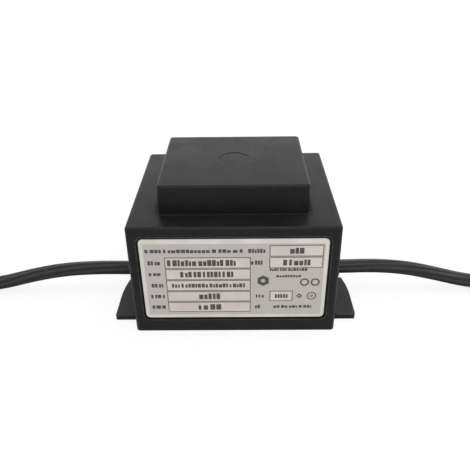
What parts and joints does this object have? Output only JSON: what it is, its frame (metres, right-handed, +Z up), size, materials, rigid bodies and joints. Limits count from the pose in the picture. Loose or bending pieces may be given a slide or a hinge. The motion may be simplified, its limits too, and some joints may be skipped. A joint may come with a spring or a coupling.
{
  "type": "led transformer",
  "caption": "Resin-potted mains transformer in a black moulded case with a raised block, a front label pocket, slotted side flanges and a round cord out of each side.",
  "frame": {"origin": "centre of the base's underside, on the surface that it stands on", "axes": "+X from the input cord to the output cord, along the length over the side flanges; +Y from the label to the back; +Z up"},
  "size_m": [0.5089, 0.0906, 0.075],
  "materials": {
    "housing_plastic": "satin black moulded plastic, finely grained",
    "resin": "poured, level and slightly glossy",
    "core_steel": "stacked sheet edges",
    "rivet_steel": "plain",
    "bobbin_plastic": "natural glass-filled nylon",
    "copper": "enamelled wire",
    "winding_tape": "yellow polyester film",
    "tinned_metal": "tinned",
    "cutout_case": "moulded case",
    "wire_brown": "extruded",
    "wire_blue": "extruded",
    "wire_red": "extruded",
    "wire_white": "extruded",
    "grommet_rubber": "moulded",
    "clamp_plastic": "natural nylon",
    "cord_rubber": "satin extruded rubber",
    "tie_plastic": "moulded",
    "label_film": "satin silver film",
    "label_field": "paler printed fields",
    "label_ink": "dark print"
  },
  "bodies": {
    "root": {"bobbin": "bobbin_plastic", "core_e_stack": "core_steel", "core_i_stack": "core_steel", "core_rivets": "rivet_steel", "cutout_leads": "wire_red", "housing": "housing_plastic", "input_coil_tie": "tie_plastic", "input_cord": "cord_rubber", "input_cord_clamp": "clamp_plastic", "input_cord_coil": "cord_rubber", "input_ferrules": "tinned_metal", "input_grommet": "grommet_rubber", "input_live_end": "wire_brown", "input_live_wire": "wire_brown", "input_neutral_end": "wire_blue", "input_neutral_wire": "wire_blue", "label_fields": "label_field", "label_print": "label_ink", "label_values": "label_ink", "output_coil_tie": "tie_plastic", "output_cord": "cord_rubber", "output_cord_clamp": "clamp_plastic", "output_cord_coil": "cord_rubber", "output_ferrules": "tinned_metal", "output_first_end": "wire_red", "output_first_wire": "wire_red", "output_grommet": "grommet_rubber", "output_second_end": "wire_white", "output_second_wire": "wire_white", "potting_resin": "resin", "primary_leads": "copper", "primary_pins": "tinned_metal", "primary_tape": "winding_tape", "primary_winding": "copper", "rating_label": "label_film", "secondary_leads": "copper", "secondary_pins": "tinned_metal", "secondary_tape": "winding_tape", "secondary_winding": "copper", "thermal_cutout": "cutout_case"}
  },
  "joints": []
}
